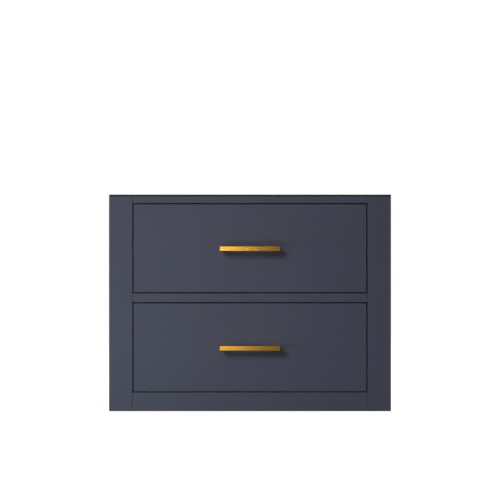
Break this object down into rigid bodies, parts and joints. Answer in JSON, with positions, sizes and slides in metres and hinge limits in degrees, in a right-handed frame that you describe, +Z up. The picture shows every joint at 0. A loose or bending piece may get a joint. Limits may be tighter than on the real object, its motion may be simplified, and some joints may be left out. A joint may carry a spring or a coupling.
{
  "type": "bathroom vanity cabinet",
  "caption": "Wall-hung vanity base with a face frame, inset slab drawers on full-extension runners and square bar handles.",
  "frame": {"origin": "under the middle of the whole object's box, handles included, on the level of the underside", "axes": "+X to the right of a person facing the drawers, -Y out of the front, the way the drawers open, +Z up"},
  "size_m": [0.6, 0.482, 0.461],
  "materials": {
    "blue_grey_paint": "satin paint on board",
    "satin_brass": "satin, brushed along the bar",
    "birch": "clear matt lacquer",
    "zinc_plate": "bright zinc plate",
    "seal_rubber": "matt foam rubber"
  },
  "bodies": {
    "cabinet": {"back_panel": "birch", "bottom_panel": "blue_grey_paint", "bottom_stop_rail": "birch", "face_rail_bottom": "blue_grey_paint", "face_rail_middle": "blue_grey_paint", "face_rail_top": "blue_grey_paint", "face_stile_left": "blue_grey_paint", "face_stile_right": "blue_grey_paint", "front_stretcher": "birch", "hanging_bracket_left": "zinc_plate", "hanging_bracket_right": "zinc_plate", "hanging_rail": "birch", "lower_cabinet_member_left": "zinc_plate", "lower_cabinet_member_right": "zinc_plate", "lower_rear_rail": "birch", "lower_runner_packer_left": "birch", "lower_runner_packer_right": "birch", "middle_stretcher": "birch", "seal_strip_front": "seal_rubber", "seal_strip_left": "seal_rubber", "seal_strip_rear": "seal_rubber", "seal_strip_right": "seal_rubber", "side_panel_left": "blue_grey_paint", "side_panel_right": "blue_grey_paint", "upper_cabinet_member_left": "zinc_plate", "upper_cabinet_member_right": "zinc_plate", "upper_runner_packer_left": "birch", "upper_runner_packer_right": "birch"},
    "upper_drawer": {"upper_drawer_back_left": "birch", "upper_drawer_back_right": "birch", "upper_drawer_bottom": "birch", "upper_drawer_front": "blue_grey_paint", "upper_drawer_member_left": "zinc_plate", "upper_drawer_member_right": "zinc_plate", "upper_drawer_side_left": "birch", "upper_drawer_side_right": "birch", "upper_drawer_sub_front": "birch", "upper_handle": "satin_brass", "upper_handle_screw_left": "zinc_plate", "upper_handle_screw_right": "zinc_plate", "upper_notch_wall_front": "birch", "upper_notch_wall_left": "birch", "upper_notch_wall_right": "birch"},
    "lower_drawer": {"lower_drawer_back": "birch", "lower_drawer_bottom": "birch", "lower_drawer_front": "blue_grey_paint", "lower_drawer_member_left": "zinc_plate", "lower_drawer_member_right": "zinc_plate", "lower_drawer_side_left": "birch", "lower_drawer_side_right": "birch", "lower_drawer_sub_front": "birch", "lower_handle": "satin_brass", "lower_handle_screw_left": "zinc_plate", "lower_handle_screw_right": "zinc_plate"},
    "upper_runner_middle": {"upper_middle_member_left": "zinc_plate", "upper_middle_member_right": "zinc_plate"},
    "lower_runner_middle": {"lower_middle_member_left": "zinc_plate", "lower_middle_member_right": "zinc_plate"}
  },
  "joints": [
    {"name": "upper_drawer_slide", "type": "slide", "parent": "cabinet", "child": "upper_drawer", "axis": [0, -1, 0], "range_m": [0, 0.38]},
    {"name": "upper_runner_slide", "type": "slide", "parent": "cabinet", "child": "upper_runner_middle", "axis": [0, -1, 0], "range_m": [0, 0.19]},
    {"name": "lower_drawer_slide", "type": "slide", "parent": "cabinet", "child": "lower_drawer", "axis": [0, -1, 0], "range_m": [0, 0.38]},
    {"name": "lower_runner_slide", "type": "slide", "parent": "cabinet", "child": "lower_runner_middle", "axis": [0, -1, 0], "range_m": [0, 0.19]}
  ],
  "couplings": [
    {"joint": "upper_runner_slide", "follows": "upper_drawer_slide", "ratio": 0.5},
    {"joint": "lower_runner_slide", "follows": "lower_drawer_slide", "ratio": 0.5}
  ]
}
